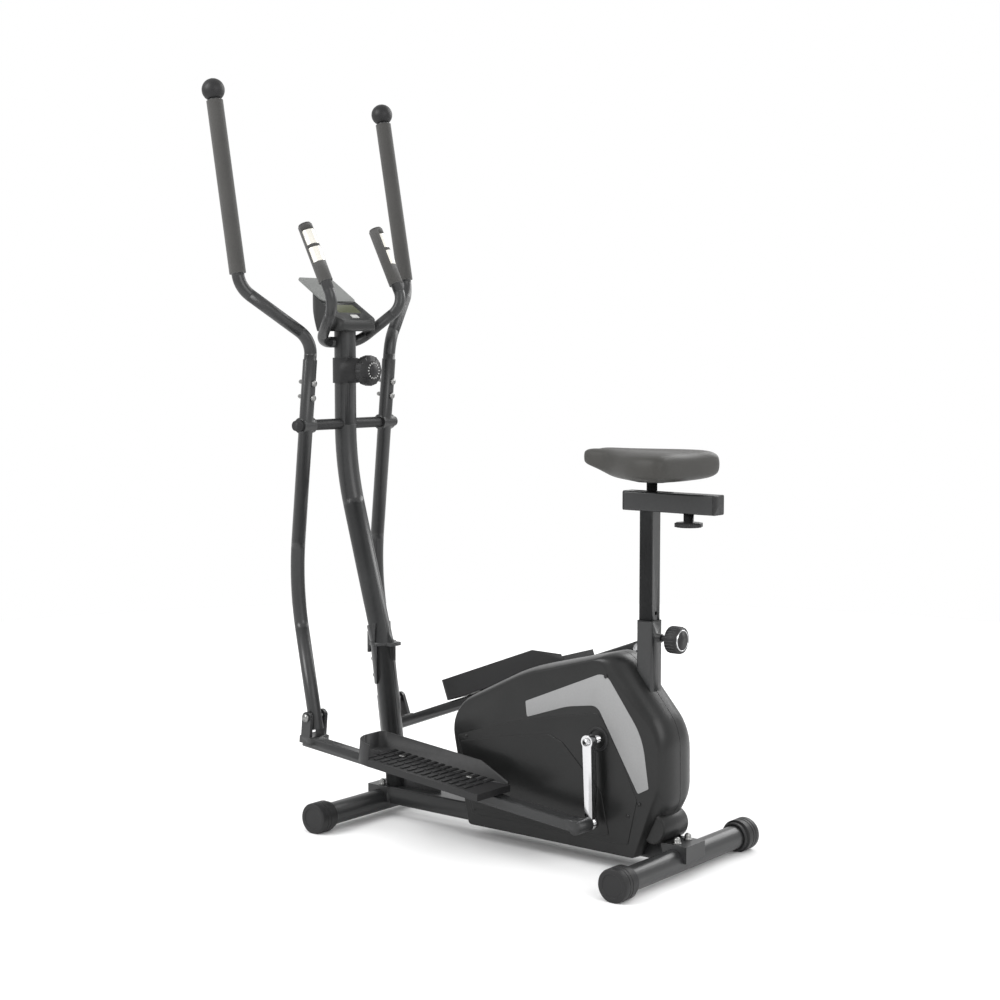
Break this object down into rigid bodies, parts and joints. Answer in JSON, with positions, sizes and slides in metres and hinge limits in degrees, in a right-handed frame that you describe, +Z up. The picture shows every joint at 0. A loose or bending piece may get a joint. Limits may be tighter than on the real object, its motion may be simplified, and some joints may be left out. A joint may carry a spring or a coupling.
{
  "type": "elliptical trainer",
  "caption": "Elliptical cross trainer with a bike saddle: swinging arms, foot trays on crank-driven bars, fixed bar with pulse plates, console and shrouded flywheel.",
  "frame": {"origin": "centre of the overall box at floor level", "axes": "+X from the console towards the saddle, +Y to the rider's right when facing the console, +Z up"},
  "size_m": [1.1733, 0.611, 1.6667],
  "materials": {
    "frame_black": "satin powder coat",
    "trim_black": "moulded",
    "zinc": "zinc plated",
    "crank_chrome": "polished",
    "foam": "soft foam",
    "footplate_black": "textured",
    "cowl_black": "satin",
    "inlay_grey": "satin",
    "screw_black": "black oxide",
    "pulse_metal": "satin",
    "saddle_vinyl": "soft vinyl",
    "console_grey": "textured",
    "lcd": "clear",
    "button_grey": "satin",
    "tablet_grey": "satin",
    "belt_rubber": "matt",
    "pulley_plastic": "moulded",
    "flywheel_iron": "turned"
  },
  "bodies": {
    "root": {"base_beam": "frame_black", "lower_post": "frame_black", "upper_post": "frame_black", "post_joint_bracket": "frame_black", "front_stabiliser": "frame_black", "rear_stabiliser": "frame_black", "seat_tube": "frame_black", "fixed_bar": "frame_black", "crank_support": "frame_black", "flywheel_fork": "frame_black", "brake_yoke": "frame_black", "stabiliser_caps": "trim_black", "axle_sleeve": "trim_black", "axle_caps": "trim_black", "seat_bush": "trim_black", "tension_housing": "trim_black", "post_joint_bolts": "zinc", "stabiliser_bolts": "zinc", "pivot_axle": "zinc", "brake_magnets": "zinc", "fixed_grips": "foam", "left_cowling": "cowl_black", "right_cowling": "cowl_black", "cowling_inlays": "inlay_grey", "cowling_screws": "screw_black", "pulse_plates": "pulse_metal", "console_housing": "console_grey", "console_screen": "lcd", "tablet_rest": "tablet_grey", "drive_belt": "belt_rubber"},
    "left_arm": {"left_arm": "frame_black", "left_handlebar": "frame_black", "left_grip": "foam", "left_handle_ball": "trim_black", "left_arm_bolts": "zinc"},
    "right_arm": {"right_arm": "frame_black", "right_handlebar": "frame_black", "right_grip": "foam", "right_handle_ball": "trim_black", "right_arm_bolts": "zinc"},
    "left_pedal": {"left_pedal_bar": "frame_black", "left_foot_pin": "zinc", "left_footplate": "footplate_black", "left_footplate_bolts": "zinc"},
    "right_pedal": {"right_pedal_bar": "frame_black", "right_foot_pin": "zinc", "right_footplate": "footplate_black", "right_footplate_bolts": "zinc"},
    "crank": {"crank_axle": "crank_chrome", "cranks": "crank_chrome", "drive_pulley": "pulley_plastic"},
    "flywheel": {"flywheel": "flywheel_iron"},
    "seat_post": {"seat_post": "frame_black", "rail_caps": "trim_black"},
    "saddle": {"saddle_carriage": "trim_black", "saddle": "saddle_vinyl"},
    "slider_knob": {"slider_knob": "trim_black"},
    "seat_pin": {"seat_pin": "trim_black"},
    "tension_knob": {"tension_knob": "trim_black"},
    "console_button": {"console_button": "button_grey"}
  },
  "joints": [
    {"name": "left_arm_swing", "type": "hinge", "parent": "root", "child": "left_arm", "pos_m": [-0.431, 0, 0.897], "axis": [0, 1, 0], "range_deg": [-12.9, 12.9]},
    {"name": "right_arm_swing", "type": "hinge", "parent": "root", "child": "right_arm", "pos_m": [-0.431, 0, 0.897], "axis": [0, 1, 0], "range_deg": [-12.9, 12.9]},
    {"name": "left_pedal_pivot", "type": "hinge", "parent": "left_arm", "child": "left_pedal", "pos_m": [-0.41061, -0.133, 0.23181], "axis": [0, 1, 0], "range_deg": [-12.9, 12.9]},
    {"name": "right_pedal_pivot", "type": "hinge", "parent": "right_arm", "child": "right_pedal", "pos_m": [-0.40633, 0.133, 0.23196], "axis": [0, 1, 0], "range_deg": [-12.9, 12.9]},
    {"name": "crank_spin", "type": "hinge", "parent": "root", "child": "crank", "pos_m": [0.33, 0, 0.267], "axis": [0, 1, 0], "continuous": true},
    {"name": "flywheel_spin", "type": "hinge", "parent": "root", "child": "flywheel", "pos_m": [0.092, 0, 0.215], "axis": [0, 1, 0], "continuous": true},
    {"name": "seat_height", "type": "slide", "parent": "root", "child": "seat_post", "axis": [0, 0, 1], "range_m": [-0.16, 0.04]},
    {"name": "saddle_slide", "type": "slide", "parent": "seat_post", "child": "saddle", "axis": [1, 0, 0], "range_m": [-0.03, 0.04]},
    {"name": "slider_knob_turn", "type": "hinge", "parent": "saddle", "child": "slider_knob", "pos_m": [0.51, 0, 0.74], "axis": [0, 0, 1], "range_deg": [0, 350]},
    {"name": "seat_pin_pull", "type": "slide", "parent": "root", "child": "seat_pin", "axis": [1, 0, 0], "range_m": [0, 0.009], "stiffness_N_per_m": 900},
    {"name": "tension_turn", "type": "hinge", "parent": "root", "child": "tension_knob", "pos_m": [-0.36, 0, 1.02], "axis": [1, 0, 0], "range_deg": [0, 300]},
    {"name": "button_press", "type": "slide", "parent": "root", "child": "console_button", "axis": [-0.5592, 0, -0.829], "range_m": [0, 0.0015], "stiffness_N_per_m": 300}
  ],
  "couplings": [
    {"joint": "right_arm_swing", "follows": "left_arm_swing", "ratio": -1},
    {"joint": "left_pedal_pivot", "follows": "left_arm_swing", "ratio": -1},
    {"joint": "right_pedal_pivot", "follows": "left_arm_swing", "ratio": 1},
    {"joint": "flywheel_spin", "follows": "crank_spin", "ratio": 7}
  ]
}
